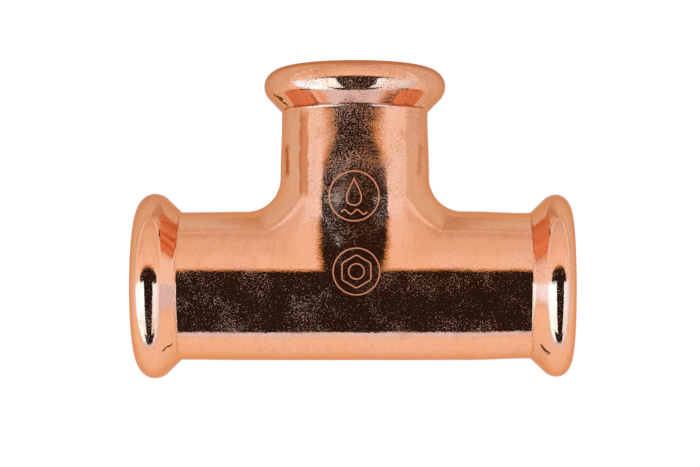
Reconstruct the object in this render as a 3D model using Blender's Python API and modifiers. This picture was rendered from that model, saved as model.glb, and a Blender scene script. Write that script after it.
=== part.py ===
"""Equal tee for 22 mm copper pipe with press-fit sockets: one formed copper body and three seal rings.

The tee lies flat, as on a bench. Its run is along X, its branch points along +Y, and +Z is up. The origin
is on the surface that it lies on, under the middle of its bounding box. Lengths are in metres.
"""

import math

import bmesh
import bpy
from mathutils import Matrix, Vector

MM = 0.001

# The pipe, and the socket that takes it
PIPE_RADIUS = 11.0 * MM
SOCKET_CLEARANCE = 0.15 * MM
SOCKET_RADIUS = PIPE_RADIUS + SOCKET_CLEARANCE
INSERTION_DEPTH = 21.0 * MM
WALL = 1.05 * MM

# The body, measured from the point where the axes cross
LEG_LENGTH = 36.3 * MM  # to the mouth of the run, either way, and of the branch
NECK_RADIUS = SOCKET_RADIUS + WALL  # outside, where a leg meets its collar
MIDDLE_RADIUS = NECK_RADIUS + 0.2 * MM  # outside, where the legs cross
THROAT_RADIUS = MIDDLE_RADIUS - 1.7 * MM  # the waterway between the pipe stops
CROTCH_FILLET = 5.6 * MM  # at the sides, where it is tightest
FRONT_SOFTNESS = 13.5 * MM  # how much wider the fillet gets towards front and back
THROAT_FILLET = 8.4 * MM

# The collar round each mouth
COLLAR_RADIUS = 15.25 * MM
COLLAR_DEPTH = 2.95 * MM  # from the mouth back to the largest radius
COLLAR_CROWN = 2.5 * MM
COLLAR_SLOPE = math.radians(46)
FOOT_FILLET = 2.2 * MM
LIP_RADIUS = 11.75 * MM  # outer edge of the flat lip
LIP_BORE_RADIUS = 11.25 * MM

# The groove inside the collar
GROOVE_RADIUS = COLLAR_RADIUS - WALL
GROOVE_LIP = 1.0 * MM  # thickness of the lip in front of it
GROOVE_CROWN = 1.5 * MM
GROOVE_FOOT_FILLET = FOOT_FILLET + WALL

# The seal ring in the groove
SEAL_SECTION_RADIUS = 1.45 * MM
SEAL_RADIUS = 12.4 * MM
SEAL_DEPTH = 3.1 * MM

QUARTER_SEGMENTS = 12  # in a quarter of a turn round a leg
FILLET_SEGMENTS = 6
SEAL_SECTION_SEGMENTS = 10
CUTTER_EXCESS = 2.0 * MM
MERGE_DISTANCE = 1e-6

COPPER = ("copper", (0.80, 0.37, 0.21), 1.0, 0.22)
SEAL_RUBBER = ("seal_rubber", (0.015, 0.015, 0.016), 0.0, 0.45)

LEGS = {"left": Vector((-1, 0, 0)), "right": Vector((1, 0, 0)), "branch": Vector((0, 1, 0))}


def clear_scene():
    for obj in list(bpy.data.objects):
        bpy.data.objects.remove(obj, do_unlink=True)


def new_collection(name):
    collection = bpy.data.collections.new(name)
    bpy.context.scene.collection.children.link(collection)
    return collection


def new_material(name, colour, metallic, roughness):
    material = bpy.data.materials.new(name)
    material.use_nodes = True
    shader = material.node_tree.nodes["Principled BSDF"]
    shader.inputs["Base Color"].default_value = (*colour, 1.0)
    shader.inputs["Metallic"].default_value = metallic
    shader.inputs["Roughness"].default_value = roughness
    return material


def new_object(name, mesh, collection, parent):
    """A smooth-shaded object that keeps its crisp edges."""
    mesh.shade_smooth()
    mesh.set_sharp_from_angle(angle=math.radians(35))
    obj = bpy.data.objects.new(name, mesh)
    collection.objects.link(obj)
    obj.parent = parent
    return obj


def arc_points(centre, radii, start, end, steps):
    """Points (along, radius) on an elliptical arc. Angle 0 points away from the axis, 90 to the mouth."""
    angles = [start + (end - start) * step / steps for step in range(steps + 1)]
    return [(centre[0] + radii[0] * math.sin(a), centre[1] + radii[1] * math.cos(a)) for a in angles]


def bead_back(crest, crest_radius, foot_radius, crown, foot_fillet):
    """A bead's back as (along, radius): a fillet up from the tube, a slope, and the crown to the crest."""
    turned = (crown + foot_fillet) * (1 - math.cos(COLLAR_SLOPE))
    slope = (crest_radius - foot_radius - turned) / math.sin(COLLAR_SLOPE)
    foot = crest - (crown + foot_fillet) * math.sin(COLLAR_SLOPE) - slope * math.cos(COLLAR_SLOPE)
    fillet = arc_points(
        (foot, foot_radius + foot_fillet), (foot_fillet,) * 2, math.pi, math.pi - COLLAR_SLOPE, 3
    )
    return fillet + arc_points((crest, crest_radius - crown), (crown,) * 2, -COLLAR_SLOPE, 0, 3)


def leg_outline(start):
    """The outside of a leg as (distance from the crossing, radius), from start to its flat lip."""
    crest = LEG_LENGTH - COLLAR_DEPTH
    back = bead_back(crest, COLLAR_RADIUS, NECK_RADIUS, COLLAR_CROWN, FOOT_FILLET)
    foot = back[0][0]
    taper = []
    for share in (0.25, 0.5, 0.75):
        swell = (MIDDLE_RADIUS - NECK_RADIUS) * (1 + math.cos(math.pi * share)) / 2
        taper.append((start + share * (foot - start), NECK_RADIUS + swell))
    nose_height = COLLAR_RADIUS - SOCKET_RADIUS
    lip_angle = math.acos((LIP_RADIUS - SOCKET_RADIUS) / nose_height)
    nose_length = COLLAR_DEPTH / math.sin(lip_angle)
    nose = arc_points((crest, SOCKET_RADIUS), (nose_length, nose_height), 0, lip_angle, 5)
    return taper + back + nose[1:]


def socket_outline():
    """The inside of a leg, from past the mouth, over the seal groove and down to the pipe stop."""
    crest = LEG_LENGTH - COLLAR_DEPTH
    front = LEG_LENGTH - GROOVE_LIP
    nose = arc_points(
        (crest, LIP_BORE_RADIUS), (front - crest, GROOVE_RADIUS - LIP_BORE_RADIUS), math.pi / 2, 0, 4
    )
    back = bead_back(crest, GROOVE_RADIUS, SOCKET_RADIUS, GROOVE_CROWN, GROOVE_FOOT_FILLET)
    past_mouth = (LEG_LENGTH + CUTTER_EXCESS, LIP_BORE_RADIUS)
    stop = (LEG_LENGTH - INSERTION_DEPTH, SOCKET_RADIUS)
    return [past_mouth] + nose + back[-2::-1] + [stop]


def add_grid(bm, lines):
    """Quads between lines of points that run side by side."""
    rows = [[bm.verts.new(point) for point in line] for line in lines]
    for row, following in zip(rows, rows[1:]):
        for a, b, c, d in zip(row, row[1:], following[1:], following):
            bm.faces.new((a, b, c, d))


def add_crossing_quarter(bm, radius, fillet, softness, end):
    """Lofts the quarter x >= 0, z >= 0 of a tube along X and an equal one along +Y, both open at end.

    A ball rolls in the valley between them. At each angle from the front its centre is on both tubes' offset
    surfaces, and the arc between its two points of contact is the fillet. The ball shrinks from the front,
    where the valley is shallow, to the fillet's radius at the sides.
    """
    upper, lower = [], []
    for step in range(QUARTER_SEGMENTS + 1):
        angle = math.pi / 2 * step / QUARTER_SEGMENTS
        sine, cosine = math.sin(angle), math.cos(angle)
        out_of_run, out_of_branch = Vector((0, sine, cosine)), Vector((sine, 0, cosine))
        rounding = fillet + softness * cosine**5
        ball = (radius + rounding) * Vector((sine, sine, cosine))
        arc = []
        for turn in range(FILLET_SEGMENTS + 1):
            towards = out_of_run.lerp(out_of_branch, turn / FILLET_SEGMENTS).normalized()
            arc.append(ball - rounding * towards)
        run_end = end * LEGS["right"] + radius * out_of_run
        branch_end = end * LEGS["branch"] + radius * out_of_branch
        upper.append([run_end, *arc, branch_end])
        below = radius * Vector((0, -sine, cosine))
        lower.append([below, end * LEGS["right"] + below])
    add_grid(bm, upper)
    add_grid(bm, lower)
    bmesh.ops.remove_doubles(bm, verts=bm.verts, dist=MERGE_DISTANCE)


def extrude_leg(bm, direction, start, outline):
    """Draws the open end at distance start out along direction through the outline, and closes it."""
    edges = [
        edge for edge in bm.edges
        if all(abs(vert.co.dot(direction) - start) < MERGE_DISTANCE for vert in edge.verts)
    ]
    for distance, radius in [*outline, (outline[-1][0], 0.0)]:
        drawn = bmesh.ops.extrude_edge_only(bm, edges=edges)["geom"]
        for vert in (item for item in drawn if isinstance(item, bmesh.types.BMVert)):
            outward = vert.co - vert.co.dot(direction) * direction
            vert.co = distance * direction + radius * outward.normalized()
        edges = [item for item in drawn if isinstance(item, bmesh.types.BMEdge)]
    bmesh.ops.remove_doubles(bm, verts=bm.verts, dist=MERGE_DISTANCE)


def tee_mesh(name, radius, fillet, softness, start, outline):
    """A closed quarter of a tee whose legs follow the outline from distance start."""
    bm = bmesh.new()
    add_crossing_quarter(bm, radius, fillet, softness, start)
    for leg in ("right", "branch"):
        extrude_leg(bm, LEGS[leg], start, outline)
    bmesh.ops.recalc_face_normals(bm, faces=bm.faces)
    mesh = bpy.data.meshes.new(name)
    bm.to_mesh(mesh)
    bm.free()
    return mesh


def mirror_quarter(obj):
    mirror = obj.modifiers.new("other_quarters", "MIRROR")
    mirror.use_axis = (True, False, True)
    mirror.use_clip = True
    mirror.merge_threshold = MERGE_DISTANCE


def along(direction):
    """The turn that takes +Z to this direction."""
    return direction.to_track_quat("Z", "Y").to_matrix().to_4x4()


def add_socket_cutter(leg, cutters, parent):
    outline = socket_outline()
    points = [(0.0, outline[0][0])] + [(radius, distance) for distance, radius in outline]
    points.append((0.0, outline[-1][0]))
    mesh = bpy.data.meshes.new(f"{leg}_socket_cutter")
    mesh.from_pydata([(r, 0, z) for r, z in points], [(i, i + 1) for i in range(len(points) - 1)], [])
    cutter = new_object(mesh.name, mesh, cutters, parent)
    cutter.matrix_local = along(LEGS[leg])
    turn = cutter.modifiers.new("turned", "SCREW")
    turn.steps = turn.render_steps = 4 * QUARTER_SEGMENTS
    turn.use_merge_vertices = True
    turn.merge_threshold = MERGE_DISTANCE
    return cutter


def add_throat_cutter(cutters, parent):
    start = THROAT_RADIUS + THROAT_FILLET + 0.2 * MM
    outline = [(start + 0.5 * MM, THROAT_RADIUS)]
    mesh = tee_mesh("throat_cutter", THROAT_RADIUS, THROAT_FILLET, 0.0, start, outline)
    cutter = new_object(mesh.name, mesh, cutters, parent)
    mirror_quarter(cutter)
    return cutter


def add_body(collection, cutters, parent):
    start = MIDDLE_RADIUS + CROTCH_FILLET + 0.2 * MM
    mesh = tee_mesh("tee_body", MIDDLE_RADIUS, CROTCH_FILLET, FRONT_SOFTNESS, start, leg_outline(start))
    mesh.materials.append(new_material(*COPPER))
    body = new_object(mesh.name, mesh, collection, parent)
    mirror_quarter(body)
    hollows = [add_throat_cutter(cutters, parent)]
    hollows += [add_socket_cutter(leg, cutters, parent) for leg in LEGS]
    for hollow in hollows:
        hollow.hide_render = True
        hollow.display_type = "WIRE"
        cut = body.modifiers.new(f"cut_{hollow.name}", "BOOLEAN")
        cut.operation = "DIFFERENCE"
        cut.solver = "EXACT"
        cut.object = hollow


def add_seal_ring(leg, material, collection, parent):
    bpy.ops.mesh.primitive_torus_add(
        major_radius=SEAL_RADIUS,
        minor_radius=SEAL_SECTION_RADIUS,
        major_segments=4 * QUARTER_SEGMENTS,
        minor_segments=SEAL_SECTION_SEGMENTS,
    )
    ring = bpy.context.object
    ring.name = ring.data.name = f"{leg}_seal_ring"
    for owner in list(ring.users_collection):
        owner.objects.unlink(ring)
    collection.objects.link(ring)
    ring.data.shade_smooth()
    ring.data.materials.append(material)
    ring.parent = parent
    ring.matrix_local = Matrix.Translation((LEG_LENGTH - SEAL_DEPTH) * LEGS[leg]) @ along(LEGS[leg])


def main():
    clear_scene()
    fitting = new_collection("tee_fitting")
    cutters = new_collection("cutters")
    crossing = bpy.data.objects.new("axes_crossing", None)
    crossing.location = (0, (COLLAR_RADIUS - LEG_LENGTH) / 2, COLLAR_RADIUS)
    fitting.objects.link(crossing)
    add_body(fitting, cutters, crossing)
    rubber = new_material(*SEAL_RUBBER)
    for leg in LEGS:
        add_seal_ring(leg, rubber, fitting, crossing)


main()
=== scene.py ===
"""The looks of the copper tee: fine meshes, materials, floor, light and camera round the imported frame."""

import math
from collections import namedtuple

import bmesh
import bpy
from mathutils import Matrix, Vector, noise
from mathutils.bvhtree import BVHTree


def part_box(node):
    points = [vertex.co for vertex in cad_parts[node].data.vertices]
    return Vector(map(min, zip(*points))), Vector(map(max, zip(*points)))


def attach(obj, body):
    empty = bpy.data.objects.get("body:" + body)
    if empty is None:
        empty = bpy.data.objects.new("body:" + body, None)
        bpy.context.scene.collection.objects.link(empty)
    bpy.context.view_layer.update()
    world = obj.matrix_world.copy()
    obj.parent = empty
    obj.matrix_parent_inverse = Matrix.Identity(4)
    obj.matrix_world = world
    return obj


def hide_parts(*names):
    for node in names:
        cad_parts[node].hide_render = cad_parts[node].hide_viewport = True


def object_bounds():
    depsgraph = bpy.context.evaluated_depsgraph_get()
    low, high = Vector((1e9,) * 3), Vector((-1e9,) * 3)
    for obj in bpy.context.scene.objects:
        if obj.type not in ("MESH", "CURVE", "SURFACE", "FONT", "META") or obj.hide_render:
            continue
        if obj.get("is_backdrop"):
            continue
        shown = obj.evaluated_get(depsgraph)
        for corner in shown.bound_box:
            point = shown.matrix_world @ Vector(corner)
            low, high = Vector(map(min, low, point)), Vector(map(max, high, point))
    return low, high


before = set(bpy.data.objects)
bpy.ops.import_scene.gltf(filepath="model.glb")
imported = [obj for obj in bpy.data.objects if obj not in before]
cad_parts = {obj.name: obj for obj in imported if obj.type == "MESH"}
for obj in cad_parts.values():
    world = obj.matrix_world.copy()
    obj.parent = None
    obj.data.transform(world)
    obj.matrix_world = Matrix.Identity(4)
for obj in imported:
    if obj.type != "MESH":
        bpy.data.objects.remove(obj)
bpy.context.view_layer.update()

MM = 0.001

# Sizes that the frame gives
LOW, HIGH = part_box("tee_body")
COLLAR_RADIUS = (HIGH.z - LOW.z) / 2
LEG_LENGTH = (HIGH.x - LOW.x) / 2
CROSSING = Vector((0, HIGH.y - LEG_LENGTH, COLLAR_RADIUS))  # where the axes of run and branch cross

# The rest of the body's form
SOCKET_RADIUS = 11.15 * MM
MIDDLE_RADIUS = 12.4 * MM
THROAT_RADIUS = 10.7 * MM
CROTCH_FILLET = 5.6 * MM  # at the sides, where it is tightest
FRONT_SOFTNESS = 13.5 * MM  # how much wider the fillet gets towards front and back
THROAT_FILLET = 8.4 * MM
INSERTION_DEPTH = 21.0 * MM
LIP_RADIUS = 11.75 * MM
LIP_BORE_RADIUS = 11.25 * MM

# The collars are rolled one at a time and differ by a few tenths: lengths in millimetres, slope in degrees
Collar = namedtuple("Collar", "crest_radius crest crown slope neck_radius length nose_power")
COLLARS = {
    "left": Collar(15.41, 33.28, 3.1, 44.2, 12.31, 36.45, 2.1),
    "right": Collar(15.15, 33.45, 2.9, 44.0, 12.12, 36.18, 2.1),
    "branch": Collar(15.15, 33.25, 3.0, 44.2, 12.18, 36.35, 2.1),
}
CREASE_RADIUS = 0.45 * MM  # where a collar's back meets its tube
CREASE_TURN = math.radians(38)
HOLLOW_RADIUS = 4.0 * MM  # the long hollow above the crease
COLLAR_BACK_SEGMENTS = 12
NOSE_SEGMENTS = 40
TAPER_SEGMENTS = 40

GROOVE_CREST = 33.35 * MM
GROOVE_RADIUS = 14.2 * MM
GROOVE_LIP = 1.0 * MM
GROOVE_CROWN = 1.5 * MM
GROOVE_SLOPE = math.radians(46)
GROOVE_FOOT_FILLET = 3.25 * MM
SEAL_SECTION_RADIUS = 1.45 * MM
SEAL_RADIUS = 12.4 * MM
SEAL_DEPTH = 3.1 * MM
SEAL_FLASH = 0.05 * MM

# The unevenness of drawn tube: gentle waves, and a step up the branch where the drawn bulge stops
WAVE_LENGTH = 9.0  # mm
WAVE_HEIGHT = 0.02 * MM
WAVE_MARGIN = 7.0 * MM  # from the mouths, kept true
WAVE_FADE = 2.0 * MM
SMALL_WAVE_SHIFT = Vector((7, 3, 5))
DIE_LINE = 14.0  # mm up the branch
DIE_STEP = 0.05 * MM
DIE_STEP_SOFTNESS = 0.5  # mm
DIE_STEP_DECAY = 4.0  # mm
DIE_HALF_WIDTH = 13.0  # mm

# The marks: strokes on the front, placed from the crossing
UPPER_MARK = Vector((0.15, 14.1, 0)) * MM
UPPER_RING_RADIUS = 4.05 * MM
DROPLET_RISE, DROPLET_SIZE = Vector((0, 0.7, 0)) * MM, 2.2 * MM
WAVE_MARK_DROP, WAVE_MARK_WIDTH, WAVE_MARK_HEIGHT = Vector((0, -2.6, 0)) * MM, 4.2 * MM, 0.35 * MM
LOWER_MARK = Vector((0.53, 1.83, 0)) * MM
LOWER_RING_RADIUS = 3.78 * MM
NUT_SIZE = 2.7 * MM
NUT_BORE_RADIUS = 1.25 * MM
MARK_WIDTH = 0.20 * MM
MARK_LIFT = 0.012 * MM
MARK_SINK = 0.03 * MM

FLOOR_RADIUS = 3.0
FLOOR_GAP = 0.02 * MM

# Light, in millimetres from the crossing
SOFTBOX_TOP, SOFTBOX_BOTTOM, SOFTBOX_HEIGHT = 22, -1140, 525
SOFTBOXES = {  # inner and outer side, colour at the top and at the bottom
    "softbox_left": (-209, -2200, (1.24, 2.45, 4.2, 1), (1.08, 1.95, 3.2, 1)),
    "softbox_right": (300, 2200, (1.05, 1.9, 3.2, 1), (1.0, 1.55, 2.5, 1)),
}
TENT_HEIGHT, TENT_REACH = 162, 5000
OPENING_LEFT, OPENING_RIGHT, OPENING_BOTTOM = -190, 205, -810
OPENING_TOP, OPENING_TOP_HALF_WIDTH = 58, 62  # its flat middle
OPENING_SHOULDER = 37  # how high the opening reaches at its sides
WHITE, HORIZON, OVERHEAD = (1, 1, 1, 1), (0.9, 0.9, 0.9, 1), (0.025, 0.018, 0.018, 1)

# The camera, from the crossing
CAMERA_TARGET = Vector((-0.805, 8.729, 0)) * MM
CAMERA_ASIDE, CAMERA_BELOW = 0.02414, -0.05990  # radians off straight above
CAMERA_DISTANCE = 430.9 * MM
CAMERA_LENS, CAMERA_SENSOR = 132.85, 36.0

EDGE_COPPER = (0.82, 0.50, 0.34, 1)
COPPER_WARM = (0.94, 0.44, 0.225, 1)
COPPER_PINK = (0.93, 0.46, 0.27, 1)
GRAIN_COPPER = (0.66, 0.22, 0.075, 1)
STREAK_COPPER = (0.78, 0.27, 0.105, 1)
PIT_COPPER = (0.70, 0.20, 0.06, 1)
ETCHED_DARK, ETCHED_LIGHT = (1.0, 0.24, 0.065, 1), (1.0, 0.29, 0.09, 1)
RUBBER_BLACK, RUBBER_BLOOM = (0.012, 0.012, 0.013, 1), (0.035, 0.035, 0.036, 1)

# Stains on the copper, and painted shade along the collars' creases and in the corners where the creases meet
# the outline: start, end and half width in millimetres, softness, strength, colour
BROWN, RUST_STAIN_AND_CREASE_SHADE = (0.50, 0.13, 0.045), (0.66, 0.20, 0.07)
ROSE, PAINTED_CREASE_SHADE = (0.80, 0.30, 0.20), (0.05, 0.02, 0.012)
STAINS_AND_CREASE_SHADE = (
    ((-8.1, 13.4), (-8.2, 29.3), 0.95, 0.45, 1.0, RUST_STAIN_AND_CREASE_SHADE),
    ((-11.1, 17.2), (-11.0, 23.4), 0.6, 0.8, 1.0, BROWN),
    ((10.7, 17.2), (10.9, 24.0), 0.6, 0.9, 0.7, RUST_STAIN_AND_CREASE_SHADE),
    ((1.9, 20.0), (1.6, 28.0), 0.35, 0.8, 0.7, ROSE),
    # painted shade: the next three darken the corners where the collars' creases meet the outline
    ((-31.3, -11.1), (-29.5, -9.6), 0.20, 0.6, 1.0, PAINTED_CREASE_SHADE),
    ((30.3, -9.8), (31.9, -11.7), 0.20, 0.6, 1.0, PAINTED_CREASE_SHADE),
    ((-13.5, 31.6), (-10.6, 29.4), 0.20, 0.6, 1.0, PAINTED_CREASE_SHADE),
    # painted shade: the next two darken the branch collar's crease
    ((-11.8, 29.18), (11.8, 29.18), 0.20, 0.22, 0.8, BROWN),
    ((-9.0, 28.6), (7.0, 28.7), 0.05, 0.20, 0.5, BROWN),
    # painted shade: the next two darken the left and right collars' creases
    ((-28.9, -11.5), (-28.9, 11.5), 0.12, 0.22, 0.6, RUST_STAIN_AND_CREASE_SHADE),
    ((29.2, -11.5), (29.2, 11.5), 0.12, 0.22, 0.6, RUST_STAIN_AND_CREASE_SHADE),
    ((33.2, 2.4), (33.0, 3.3), 0.9, 0.9, 0.45, BROWN),
    ((-33.2, 2.4), (-33.0, 3.3), 0.9, 0.9, 0.45, BROWN),
)

QUARTER_SEGMENTS = 64
FILLET_SEGMENTS = 24
TUBE_SEGMENTS = 30
SEAL_SEGMENTS = 48
CUTTER_EXCESS = 2.0 * MM
MERGE_DISTANCE = 1e-7

LEGS = {"left": Vector((-1, 0, 0)), "right": Vector((1, 0, 0)), "branch": Vector((0, 1, 0))}


def arc_points(centre, radii, start, end, steps):
    """Points (along, radius) on an elliptical arc, whose angles count from straight out to the mouth."""
    angles = [start + (end - start) * step / steps for step in range(steps + 1)]
    return [(centre[0] + radii[0] * math.sin(a), centre[1] + radii[1] * math.cos(a)) for a in angles]


def straight(start, end, steps):
    """Points between two points, without the first."""
    shares = [step / steps for step in range(1, steps + 1)]
    return [tuple(a + (b - a) * share for a, b in zip(start, end)) for share in shares]


def bead_back(crest, crest_radius, foot_radius, bends, crown, slope, steps):
    """A bead's back from the tube up: each bend (radius, turned to), a straight slope, and the crown."""
    bends = [(0.0, 0.0), *bends]
    rise = crown * (1 - math.cos(slope))
    run = crown * math.sin(slope)
    for (_, before), (radius, after) in zip(bends, bends[1:]):
        rise += radius * (math.cos(before) - math.cos(after))
        run += radius * (math.sin(after) - math.sin(before))
    straight_rise = crest_radius - foot_radius - rise
    foot = crest - run - straight_rise / math.tan(slope)
    points = [(foot, foot_radius)]
    for (_, before), (radius, after) in zip(bends, bends[1:]):
        centre = (points[-1][0] - radius * math.sin(before), points[-1][1] + radius * math.cos(before))
        points += arc_points(centre, (radius,) * 2, math.pi - before, math.pi - after, steps)[1:]
    top = arc_points((crest, crest_radius - crown), (crown,) * 2, -slope, 0, steps)
    return points + straight(points[-1], top[0], steps) + top[1:]


def leg_outline(leg, start):
    """The outside of a leg as (distance from the crossing, radius), from start to its flat lip."""
    collar = COLLARS[leg]
    crest, crest_radius, neck = collar.crest * MM, collar.crest_radius * MM, collar.neck_radius * MM
    slope = math.radians(collar.slope)
    bends = [(CREASE_RADIUS, CREASE_TURN), (HOLLOW_RADIUS, slope)]
    back = bead_back(crest, crest_radius, neck, bends, collar.crown * MM, slope, COLLAR_BACK_SEGMENTS)
    foot = back[0][0]
    taper = []
    for step in range(1, TAPER_SEGMENTS):
        share = step / TAPER_SEGMENTS
        swell = (MIDDLE_RADIUS - neck) * (1 + math.cos(math.pi * share)) / 2
        taper.append((start + share * (foot - start), neck + swell))
    height, power = crest_radius - SOCKET_RADIUS, collar.nose_power
    lip_rise = (LIP_RADIUS - SOCKET_RADIUS) / height
    depth = (collar.length * MM - crest) / (1 - lip_rise**power) ** (1 / power)
    nose = []
    for step in range(1, NOSE_SEGMENTS + 1):
        rise = lip_rise + (1 - lip_rise) * math.cos(math.pi / 2 * step / NOSE_SEGMENTS)
        nose.append((crest + depth * (1 - rise**power) ** (1 / power), SOCKET_RADIUS + height * rise))
    return taper + back + nose


def socket_outline():
    """The inside of a leg, from past the mouth, over the seal groove and down to the pipe stop."""
    nose = arc_points(
        (GROOVE_CREST, LIP_BORE_RADIUS),
        (LEG_LENGTH - GROOVE_LIP - GROOVE_CREST, GROOVE_RADIUS - LIP_BORE_RADIUS),
        math.pi / 2, 0, 16,
    )
    bends = [(GROOVE_FOOT_FILLET, GROOVE_SLOPE)]
    back = bead_back(GROOVE_CREST, GROOVE_RADIUS, SOCKET_RADIUS, bends, GROOVE_CROWN, GROOVE_SLOPE, 8)
    past_mouth = (LEG_LENGTH + CUTTER_EXCESS, LIP_BORE_RADIUS)
    stop = (LEG_LENGTH - INSERTION_DEPTH, SOCKET_RADIUS)
    return [past_mouth] + nose + back[-2::-1] + [stop]


def add_grid(bm, lines):
    rows = [[bm.verts.new(point) for point in line] for line in lines]
    for row, following in zip(rows, rows[1:]):
        for a, b, c, d in zip(row, row[1:], following[1:], following):
            bm.faces.new((a, b, c, d))


def add_crossing_quarter(bm, radius, fillet, softness, end):
    """A quarter of where run and branch meet, faired by a ball that grows by softness towards the front."""
    upper, lower = [], []
    for step in range(QUARTER_SEGMENTS + 1):
        angle = math.pi / 2 * step / QUARTER_SEGMENTS
        sine, cosine = math.sin(angle), math.cos(angle)
        out_of_run, out_of_branch = Vector((0, sine, cosine)), Vector((sine, 0, cosine))
        rounding = fillet + softness * cosine**5
        ball = (radius + rounding) * Vector((sine, sine, cosine))
        arc = []
        for turn in range(FILLET_SEGMENTS + 1):
            towards = out_of_run.lerp(out_of_branch, turn / FILLET_SEGMENTS).normalized()
            arc.append(ball - rounding * towards)
        run_end = end * LEGS["right"] + radius * out_of_run
        branch_end = end * LEGS["branch"] + radius * out_of_branch
        shares = [step / TUBE_SEGMENTS for step in range(1, TUBE_SEGMENTS)]
        line = [run_end] + [run_end.lerp(arc[0], share) for share in shares] + arc
        line += [arc[-1].lerp(branch_end, share) for share in shares] + [branch_end]
        upper.append(line)
        below = radius * Vector((0, -sine, cosine))
        lower.append([below + end * share * LEGS["right"] for share in (0, *shares, 1)])
    add_grid(bm, upper)
    add_grid(bm, lower)
    bmesh.ops.remove_doubles(bm, verts=bm.verts, dist=MERGE_DISTANCE)


def extrude_leg(bm, direction, start, outline):
    """Draws the open edge at distance start out along the outline, and closes its end."""
    edges = [
        edge for edge in bm.edges
        if all(abs(vert.co.dot(direction) - start) < MERGE_DISTANCE for vert in edge.verts)
    ]
    for distance, radius in [*outline, (outline[-1][0], 0.0)]:
        drawn = bmesh.ops.extrude_edge_only(bm, edges=edges)["geom"]
        for vert in (item for item in drawn if isinstance(item, bmesh.types.BMVert)):
            outward = vert.co - vert.co.dot(direction) * direction
            vert.co = distance * direction + radius * outward.normalized()
        edges = [item for item in drawn if isinstance(item, bmesh.types.BMEdge)]
    bmesh.ops.remove_doubles(bm, verts=bm.verts, dist=MERGE_DISTANCE)


def tee_mesh(name, radius, fillet, softness, start, outlines):
    """The half z >= 0 of a tee whose legs follow their outlines from distance start."""
    bm = bmesh.new()
    add_crossing_quarter(bm, radius, fillet, softness, start)
    other = bmesh.ops.duplicate(bm, geom=[*bm.verts, *bm.edges, *bm.faces])["geom"]
    other = [item for item in other if isinstance(item, bmesh.types.BMVert)]
    bmesh.ops.scale(bm, vec=(-1, 1, 1), verts=other)
    bmesh.ops.remove_doubles(bm, verts=bm.verts, dist=MERGE_DISTANCE)
    for leg, outline in outlines.items():
        extrude_leg(bm, LEGS[leg], start, outline)
    return mesh_of(name, bm)


def new_object(name, mesh):
    """An object whose own origin is where the axes of run and branch cross."""
    obj = bpy.data.objects.new(name, mesh)
    obj.location = CROSSING
    bpy.context.scene.collection.objects.link(obj)
    return obj


def mesh_of(name, bm):
    bmesh.ops.remove_doubles(bm, verts=bm.verts, dist=MERGE_DISTANCE)
    bmesh.ops.recalc_face_normals(bm, faces=bm.faces)
    mesh = bpy.data.meshes.new(name)
    bm.to_mesh(mesh)
    bm.free()
    return mesh


def mirror_half(obj):
    mirror = obj.modifiers.new("other_half", "MIRROR")
    mirror.use_axis = (False, False, True)
    mirror.use_clip = True
    mirror.merge_threshold = MERGE_DISTANCE


def apply_modifiers(obj):
    bpy.context.view_layer.update()
    graph = bpy.context.evaluated_depsgraph_get()
    mesh = bpy.data.meshes.new_from_object(obj.evaluated_get(graph))
    obj.modifiers.clear()
    obj.data = mesh


def revolved(name, leg, outline):
    """A mesh made by turning an outline of (distance, radius) points round one leg's axis."""
    along, aside = LEGS[leg], Vector((0, 0, 1))
    up = along.cross(aside)
    steps = 4 * QUARTER_SEGMENTS
    lines = []
    for step in range(steps + 1):
        angle = 2 * math.pi * step / steps
        out = math.cos(angle) * aside + math.sin(angle) * up
        lines.append([distance * along + radius * out for distance, radius in outline])
    bm = bmesh.new()
    add_grid(bm, lines)
    return mesh_of(name, bm)


def socket_cutter(leg):
    outline = socket_outline()
    closed = [(outline[0][0], 0.0), *outline, (outline[-1][0], 0.0)]
    return new_object("cutter", revolved("cutter", leg, closed))


def throat_cutter():
    start = THROAT_RADIUS + THROAT_FILLET + 0.2 * MM
    outlines = {leg: [(start + 0.5 * MM, THROAT_RADIUS)] for leg in LEGS}
    cutter = new_object("cutter", tee_mesh("cutter", THROAT_RADIUS, THROAT_FILLET, 0.0, start, outlines))
    mirror_half(cutter)
    apply_modifiers(cutter)
    return cutter


def cut(obj, cutter):
    boolean = obj.modifiers.new("cut", "BOOLEAN")
    boolean.operation = "DIFFERENCE"
    boolean.solver = "MANIFOLD"
    boolean.object = cutter
    apply_modifiers(obj)
    bpy.data.objects.remove(cutter)


def make_wavy(mesh):
    """Moves each point of the body a little in or out, away from the collars."""
    for vert, normal in zip(mesh.vertices, [v.normal.copy() for v in mesh.vertices]):
        place = vert.co / MM
        reach = max(abs(place.x), abs(place.y)) * MM
        fade = min(1.0, max(0.0, (LEG_LENGTH - WAVE_MARGIN - reach) / WAVE_FADE))
        if fade > 0:
            small = noise.noise(place / (0.4 * WAVE_LENGTH) + SMALL_WAVE_SHIFT)
            swell = noise.noise(place / WAVE_LENGTH) + 0.5 * small
            past = place.y - DIE_LINE
            step = 1 / (1 + math.exp(-past / DIE_STEP_SOFTNESS)) * math.exp(-max(0, past) / DIE_STEP_DECAY)
            die = DIE_STEP * step if abs(place.x) < DIE_HALF_WIDTH else 0.0
            vert.co += (fade * WAVE_HEIGHT * swell + die) * normal


def add_body():
    start = MIDDLE_RADIUS + CROTCH_FILLET + 0.2 * MM
    outlines = {leg: leg_outline(leg, start) for leg in LEGS}
    mesh = tee_mesh("copper_body", MIDDLE_RADIUS, CROTCH_FILLET, FRONT_SOFTNESS, start, outlines)
    body = new_object("copper_body", mesh)
    mirror_half(body)
    apply_modifiers(body)
    make_wavy(body.data)
    cut(body, throat_cutter())
    for leg in LEGS:
        cut(body, socket_cutter(leg))
    body.data.shade_smooth()
    body.data.set_sharp_from_angle(angle=math.radians(35))
    body.data.materials.clear()
    body.data.materials.append(copper_material())
    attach(body, "root")
    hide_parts("tee_body")
    return body


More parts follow.
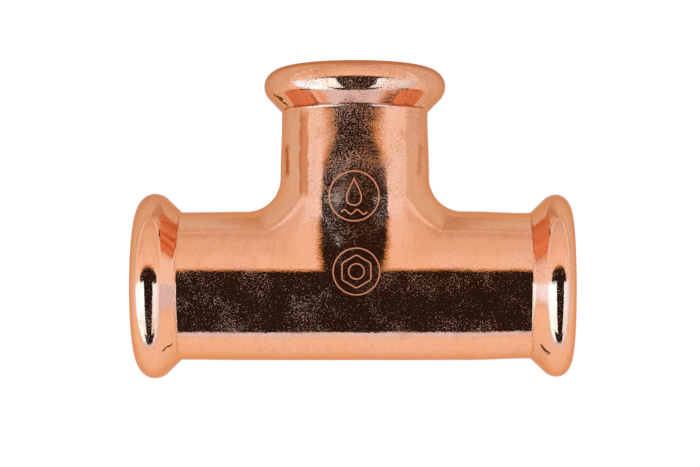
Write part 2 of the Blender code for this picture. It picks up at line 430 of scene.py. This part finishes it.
def add_seal_ring(leg):
    """A round-section ring with the fine flash line that its mould leaves inside and out."""
    outline = []
    for step in range(SEAL_SEGMENTS + 1):
        angle = 2 * math.pi * step / SEAL_SEGMENTS
        flash = SEAL_FLASH * max(0.0, 1 - min(abs(math.sin(angle)), 1) / 0.12)
        section = SEAL_SECTION_RADIUS - SEAL_FLASH + flash
        outline.append((
            LEG_LENGTH - SEAL_DEPTH + section * math.sin(angle), SEAL_RADIUS + section * math.cos(angle)
        ))
    ring = new_object(leg + "_seal", revolved(leg + "_seal", leg, outline))
    ring.data.shade_smooth()
    ring.data.materials.append(rubber_material())
    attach(ring, "root")
    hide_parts(leg + "_seal_ring")


def ring_stroke(centre, radius, steps=120):
    return [
        centre + radius * Vector((math.cos(a), math.sin(a), 0))
        for a in (2 * math.pi * step / steps for step in range(steps))
    ]


def droplet_stroke(centre, size, steps=72):
    points = []
    for step in range(steps):
        angle = 2 * math.pi * step / steps
        across = size * 0.78 * math.sin(angle) * math.sin(angle / 2) ** 1.6
        points.append(centre + Vector((across, size * math.cos(angle), 0)))
    return points


def nut_stroke(centre, size):
    """A hexagon with rounded corners, standing on a corner."""
    points = []
    corner = 0.22 * size
    for side in range(6):
        middle = centre + (size - corner / math.cos(math.pi / 6)) * Vector(
            (math.sin(side * math.pi / 3), math.cos(side * math.pi / 3), 0)
        )
        for step in range(9):
            angle = side * math.pi / 3 - math.pi / 6 + math.pi / 3 * step / 8
            points.append(middle + corner * Vector((math.sin(angle), math.cos(angle), 0)))
    filled = []
    for a, b in zip(points, points[1:] + points[:1]):
        parts = max(1, round((b - a).length / (0.12 * MM)))
        filled += [a.lerp(b, s / parts) for s in range(parts)]
    return filled


def wave_stroke(centre, width, height, steps=48):
    return [
        centre + Vector((width * (s / steps - 0.5), height * math.sin(4 * math.pi * s / steps), 0))
        for s in range(steps + 1)
    ]


def add_mark(name, strokes, body_tree, material):
    """Etched lines: thin strips that follow the copper's surface. A stroke is (points, closed)."""
    bm = bmesh.new()
    for points, closed in strokes:
        count = len(points)
        rows = []
        for index, point in enumerate(points):
            before = points[index - 1] if closed or index else point
            after = points[(index + 1) % count] if closed or index < count - 1 else point
            side = (after - before).normalized().cross(Vector((0, 0, 1)))
            row = []
            for offset, lift in ((-1, MARK_LIFT), (1, MARK_LIFT), (1, -MARK_SINK), (-1, -MARK_SINK)):
                above = point + offset * MARK_WIDTH / 2 * side + Vector((0, 0, 2 * COLLAR_RADIUS))
                hit, normal, _, _ = body_tree.ray_cast(above, Vector((0, 0, -1)))
                row.append(bm.verts.new(hit + lift * normal))
            rows.append(row)
        for row, following in zip(rows, rows[1:] + rows[:1] if closed else rows[1:]):
            for a, b, c, d in zip(row, row[1:] + row[:1], following[1:] + following[:1], following):
                bm.faces.new((a, b, c, d))
        if not closed:
            bm.faces.new(rows[0])
            bm.faces.new(rows[-1])
    mark = new_object(name, mesh_of(name, bm))
    mark.data.materials.append(material)
    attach(mark, "root")


class Graph:
    """Short-hand for adding shader nodes and linking them."""

    def __init__(self, tree):
        self.tree = tree
        tree.nodes.clear()

    def add(self, kind, inputs=None, **settings):
        node = self.tree.nodes.new(kind)
        for name, value in settings.items():
            setattr(node, name, value)
        for name, value in (inputs or {}).items():
            if isinstance(value, bpy.types.Node):
                value = value.outputs[0]
            if isinstance(value, bpy.types.NodeSocket):
                self.tree.links.new(value, node.inputs[name])
            else:
                node.inputs[name].default_value = value
        return node

    def math(self, operation, *values):
        return self.add("ShaderNodeMath", dict(enumerate(values)), operation=operation)

    def vector(self, operation, *values):
        return self.add("ShaderNodeVectorMath", dict(enumerate(values)), operation=operation).outputs[0]

    def axes(self, place):
        return self.add("ShaderNodeSeparateXYZ", {0: place}).outputs

    def ramp(self, value, low, high, to=(0.0, 1.0), kind="SMOOTHSTEP"):
        inputs = {"Value": value, "From Min": low, "From Max": high, "To Min": to[0], "To Max": to[1]}
        return self.add("ShaderNodeMapRange", inputs, interpolation_type=kind)

    def mix(self, share, first, second):
        return self.add(
            "ShaderNodeMix", {0: share, 6: first, 7: second}, data_type="RGBA"
        ).outputs[2]

    def noise(self, place, scale, detail=2.0, roughness=0.5):
        return self.add(
            "ShaderNodeTexNoise",
            {"Vector": place, "Scale": scale, "Detail": detail, "Roughness": roughness},
        ).outputs["Fac"]

    def bump(self, height, depth, normal=None):
        """Depth is in millimetres, for a height that goes from 0 to 1."""
        inputs = {"Height": height, "Distance": depth * MM, "Strength": 1.0}
        if normal:
            inputs["Normal"] = normal
        return self.add("ShaderNodeBump", inputs)


def stroke_mask(graph, place, start, end, width, softness):
    """1 along a straight stroke on the front, from start to end as (x, y) in millimetres, and 0 elsewhere."""
    start, end = Vector((*start, 0)), Vector((*end, 0))
    along = (end - start).normalized()
    half = (end - start).length / 2
    away = graph.vector("SUBTRACT", place, (start + end) / 2)

    def reach(direction):
        dot = graph.add("ShaderNodeVectorMath", {0: away, 1: direction}, operation="DOT_PRODUCT")
        return graph.math("ABSOLUTE", dot.outputs["Value"])

    beside = graph.ramp(reach(Vector((-along.y, along.x, 0))), width, width * (1 - softness))
    inside = graph.ramp(reach(along), half, half - width * 2)
    front = graph.ramp(graph.axes(place)[2], 1.0, 2.0)
    return graph.math("MULTIPLY", graph.math("MULTIPLY", beside, inside), front)


def millimetres(graph):
    """Where a point is from the crossing of the axes, in millimetres."""
    place = graph.add("ShaderNodeTexCoord").outputs["Object"]
    return graph.add("ShaderNodeVectorMath", {0: place, "Scale": 1000.0}, operation="SCALE").outputs[0]


def new_material(name):
    material = bpy.data.materials.new(name)
    material.use_nodes = True
    return material, Graph(material.node_tree)


def finished(graph, shader_inputs):
    shader = graph.add("ShaderNodeBsdfPrincipled", shader_inputs)
    graph.add("ShaderNodeOutputMaterial", {"Surface": shader})


def with_stains_and_crease_shade(graph, place, colour):
    """The colour with the stains and the painted crease shade over it, their edges wavering by under half a
    millimetre.
    """
    stretched = graph.vector("MULTIPLY", place, (4.0, 0.35, 1.0))
    ragged = graph.ramp(graph.noise(stretched, 1.0, 3.0, 0.6), 0.15, 0.45)
    drift = graph.add("ShaderNodeTexNoise", {"Vector": place, "Scale": 0.7, "Detail": 3.0}).outputs["Color"]
    drift = graph.vector("SUBTRACT", drift, (0.5, 0.5, 0.5))
    warped = graph.vector("MULTIPLY_ADD", drift, (0.9, 0.9, 0.9), place)
    for start, end, width, softness, strength, mark_colour in STAINS_AND_CREASE_SHADE:
        mask = graph.math("MULTIPLY", stroke_mask(graph, warped, start, end, width, softness), ragged)
        colour = graph.mix(graph.math("MULTIPLY", mask, strength), colour, (*mark_colour, 1))
    return colour


def pitting(graph, place, cloud):
    """Fine pits, 0 to 1: more of them where the cloud is dense and where the branch was drawn out."""
    drawn = graph.ramp(graph.axes(place)[1], 7, 19)
    threshold = graph.ramp(cloud, 0.40, 0.74, (0.675, 0.575))
    threshold = graph.math("SUBTRACT", threshold, graph.math("MULTIPLY", drawn, 0.065))
    pits = graph.noise(place, 6.6, 2.0, 0.6)
    return graph.ramp(pits, threshold, graph.math("ADD", threshold, 0.16))


def copper_material():
    material, graph = new_material("bright_copper")
    place = millimetres(graph)
    tint = graph.ramp(graph.noise(place, 0.12, 3.0), 0.35, 0.65)
    # painted shade along the collars' creases goes into the colour here, along with the stains
    colour = with_stains_and_crease_shade(graph, place, graph.mix(tint, COPPER_WARM, COPPER_PINK))
    grain = graph.ramp(graph.noise(place, 2.2, 4.0, 0.7), 0.3, 0.7)
    colour = graph.mix(graph.math("MULTIPLY", grain, 0.20), colour, GRAIN_COPPER)
    drawn_out = graph.vector("MULTIPLY", place, (1.1, 0.10, 0.5))
    streaks = graph.ramp(graph.noise(drawn_out, 1.0, 4.0, 0.65), 0.48, 0.78)
    colour = graph.mix(graph.math("MULTIPLY", streaks, 0.35), colour, STREAK_COPPER)
    cloud = graph.noise(place, 0.22, 4.0, 0.6)
    pits = pitting(graph, place, cloud)
    colour = graph.mix(graph.ramp(pits, 0.0, 0.3), colour, PIT_COPPER)
    rough = graph.ramp(cloud, 0.50, 0.78, (0.05, 0.13))
    bump = graph.bump(graph.noise(place, 0.45, 1.0), 0.020)
    bump = graph.bump(graph.noise(place, 2.6, 2.0, 0.6), 0.010, bump)
    bump = graph.bump(pits, 0.024, bump)
    finished(graph, {
        "Base Color": colour, "Roughness": rough, "Normal": bump,
        "Metallic": 1.0, "Specular Tint": EDGE_COPPER,
    })
    return material


def etched_material():
    material, graph = new_material("etched_copper")
    place = millimetres(graph)
    colour = graph.mix(graph.noise(place, 3.0, 3.0), ETCHED_DARK, ETCHED_LIGHT)
    rough = graph.ramp(graph.noise(place, 6.0, 2.0), 0.3, 0.7, (0.5, 0.7))
    bump = graph.bump(graph.noise(place, 8.0, 2.0), 0.01)
    finished(graph, {"Base Color": colour, "Roughness": rough, "Normal": bump, "Metallic": 0.2})
    return material


def rubber_material():
    if "seal_epdm" in bpy.data.materials:
        return bpy.data.materials["seal_epdm"]
    material, graph = new_material("seal_epdm")
    place = millimetres(graph)
    bloom = graph.ramp(graph.noise(place, 0.5, 4.0, 0.6), 0.45, 0.75)
    colour = graph.mix(bloom, RUBBER_BLACK, RUBBER_BLOOM)
    rough = graph.ramp(bloom, 0.0, 1.0, (0.42, 0.62))
    bump = graph.bump(graph.noise(place, 9.0, 3.0), 0.006)
    finished(graph, {"Base Color": colour, "Roughness": rough, "Normal": bump})
    return material


def add_floor():
    """A white floor under the lowest point, plain white to the camera. What the copper sees of it glows in
    painted shading from near to far, with a painted shadow in line with the branch.
    """
    bm = bmesh.new()
    bmesh.ops.create_circle(bm, cap_ends=True, radius=FLOOR_RADIUS, segments=96)
    mesh = bpy.data.meshes.new("floor")
    bm.to_mesh(mesh)
    bm.free()
    floor = bpy.data.objects.new("floor", mesh)
    bpy.context.scene.collection.objects.link(floor)
    floor.location.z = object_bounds()[0][2] - FLOOR_GAP
    material, graph = new_material("floor")
    straight_on = graph.add("ShaderNodeLightPath").outputs["Is Camera Ray"]
    aside, up, _ = graph.axes(millimetres(graph))
    # painted shading: the glow that the copper sees goes from pale near by to dimmer and warmer far off
    glow = graph.mix(graph.ramp(up, -60, 40), (0.97, 1.0, 1.08, 1), (0.78, 0.82, 0.88, 1))
    glow = graph.mix(graph.ramp(up, 60, 250), glow, (0.74, 0.67, 0.64, 1))
    # painted shadow: darker floor in line with the branch beyond y = 30 mm, seen only in reflections
    painted_floor_shadow = graph.math("MULTIPLY", graph.ramp(up, 22, 30), graph.ramp(graph.math("ABSOLUTE", aside), 34, 12))
    glow = graph.mix(painted_floor_shadow, glow, (0.60, 0.47, 0.39, 1))
    glow = graph.mix(straight_on, glow, WHITE)
    finished(graph, {
        "Base Color": (0.03, 0.03, 0.03, 1), "Roughness": 0.9, "Specular IOR Level": 0.0,
        "Emission Color": glow, "Emission Strength": 1.0,
    })
    mesh.materials.append(material)
    floor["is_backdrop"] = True


def add_panel(name, corners, faces, paint):
    """A glowing sheet that the camera doesn't see. Its corners are in millimetres from the crossing."""
    mesh = bpy.data.meshes.new(name)
    mesh.from_pydata([Vector(corner) * MM for corner in corners], [], faces)
    panel = new_object(name, mesh)
    panel.visible_camera = False
    material, graph = new_material(name)
    shader = graph.add("ShaderNodeEmission", {"Color": paint(graph), "Strength": 1.0})
    graph.add("ShaderNodeOutputMaterial", {"Surface": shader})
    mesh.materials.append(material)
    panel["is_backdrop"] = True


def add_softbox(name, inner, outer, upper_colour, lower_colour):
    sides = (inner, SOFTBOX_TOP), (outer, SOFTBOX_TOP), (outer, SOFTBOX_BOTTOM), (inner, SOFTBOX_BOTTOM)
    corners = [(x, y, SOFTBOX_HEIGHT) for x, y in sides]

    def paint(graph):
        down = graph.ramp(graph.axes(millimetres(graph))[1], 0, -900)
        return graph.mix(down, upper_colour, lower_colour)

    add_panel(name, corners, [(0, 1, 2, 3)], paint)


def add_tent():
    """A pale sheet close over the object, with an opening that camera and softboxes look in through."""
    around = [(-TENT_REACH, -TENT_REACH), (TENT_REACH, -TENT_REACH), (TENT_REACH, TENT_REACH)]
    around.append((-TENT_REACH, TENT_REACH))
    opening = [
        (OPENING_LEFT, OPENING_BOTTOM), (OPENING_RIGHT, OPENING_BOTTOM), (OPENING_RIGHT, OPENING_SHOULDER),
        (OPENING_TOP_HALF_WIDTH, OPENING_TOP), (-OPENING_TOP_HALF_WIDTH, OPENING_TOP),
        (OPENING_LEFT, OPENING_SHOULDER),
    ]
    corners = [(x, y, TENT_HEIGHT) for x, y in around + opening]
    shoulder_drop = OPENING_TOP - OPENING_SHOULDER

    def paint(graph):
        x, y, _ = graph.axes(millimetres(graph))
        over = graph.mix(graph.ramp(y, 90, 250), (0.99, 1.02, 1.14, 1), (0.89, 0.86, 0.88, 1))
        over = graph.mix(graph.ramp(y, 250, 1000), over, (0.76, 0.68, 0.66, 1))
        aside = graph.math("ABSOLUTE", x)
        over = graph.mix(graph.ramp(aside, 300, 1200), over, (1.0, 1.16, 1.5, 1))
        drop = graph.ramp(aside, OPENING_TOP_HALF_WIDTH, 200, (0.0, shoulder_drop), "LINEAR")
        above_edge = graph.math("ADD", y, drop)
        edge = graph.math("MULTIPLY", graph.ramp(above_edge, 74, 63), graph.ramp(aside, 220, 150))
        over = graph.mix(edge, over, (0.66, 0.42, 0.20, 1))
        beside_left = graph.mix(graph.ramp(x, -450, -2200), (1.08, 2.3, 4.0, 1), (1.02, 1.5, 2.6, 1))
        beside_right = graph.mix(graph.ramp(x, 240, 900), (1.02, 1.6, 2.5, 1), (0.80, 1.03, 1.70, 1))
        beside = graph.mix(graph.ramp(x, -10, 10), beside_left, beside_right)
        upper = graph.mix(graph.ramp(aside, 180, 210), over, (1.0, 1.2, 1.6, 1))
        upper = graph.mix(graph.ramp(y, 80, 200), upper, over)
        below = graph.mix(graph.ramp(y, -760, -860), beside, (0.85, 1.08, 1.70, 1))
        return graph.mix(graph.ramp(y, 8, 18), below, upper)

    faces = [(0, 1, 5, 4), (1, 2, 6, 5), (2, 7, 6), (2, 3, 8, 7), (3, 9, 8), (3, 0, 4, 9)]
    add_panel("tent", corners, faces, paint)


def add_world():
    """Dark overhead, where the tent's opening shows it, and pale round the horizon."""
    world = bpy.data.worlds.new("studio")
    world.use_nodes = True
    bpy.context.scene.world = world
    graph = Graph(world.node_tree)
    up = graph.axes(graph.add("ShaderNodeTexCoord").outputs["Generated"])[2]
    seen = graph.mix(graph.ramp(up, 0.04, 0.08), HORIZON, OVERHEAD)
    straight_on = graph.add("ShaderNodeLightPath").outputs["Is Camera Ray"]
    colour = graph.mix(straight_on, seen, WHITE)
    shader = graph.add("ShaderNodeBackground", {"Color": colour, "Strength": 1.0})
    graph.add("ShaderNodeOutputWorld", {"Surface": shader})


def add_camera():
    level = math.cos(CAMERA_ASIDE)
    out = Vector((math.sin(CAMERA_ASIDE), math.sin(CAMERA_BELOW) * level, math.cos(CAMERA_BELOW) * level))
    across = Vector((0, 1, 0)).cross(out).normalized()
    camera = bpy.data.objects.new("camera", bpy.data.cameras.new("camera"))
    bpy.context.scene.collection.objects.link(camera)
    turn = Matrix((across, out.cross(across), out)).transposed().to_4x4()
    camera.matrix_world = Matrix.Translation(CROSSING + CAMERA_TARGET + CAMERA_DISTANCE * out) @ turn
    camera.data.sensor_width = CAMERA_SENSOR
    camera.data.lens = CAMERA_LENS
    bpy.context.scene.camera = camera


def body_surface(body):
    bm = bmesh.new()
    bm.from_mesh(body.data)
    tree = BVHTree.FromBMesh(bm)
    bm.free()
    return tree


add_camera()
body = add_body()
for leg in LEGS:
    add_seal_ring(leg)
surface = body_surface(body)
etched = etched_material()
add_mark("upper_mark", [
    (ring_stroke(UPPER_MARK, UPPER_RING_RADIUS), True),
    (droplet_stroke(UPPER_MARK + DROPLET_RISE, DROPLET_SIZE), True),
    (wave_stroke(UPPER_MARK + WAVE_MARK_DROP, WAVE_MARK_WIDTH, WAVE_MARK_HEIGHT), False),
], surface, etched)
add_mark("lower_mark", [
    (ring_stroke(LOWER_MARK, LOWER_RING_RADIUS), True),
    (nut_stroke(LOWER_MARK, NUT_SIZE), True),
    (ring_stroke(LOWER_MARK, NUT_BORE_RADIUS, 60), True),
], surface, etched)
add_world()
add_tent()
for name, softbox in SOFTBOXES.items():
    add_softbox(name, *softbox)
add_floor()
bpy.context.scene.view_settings.view_transform = "Standard"
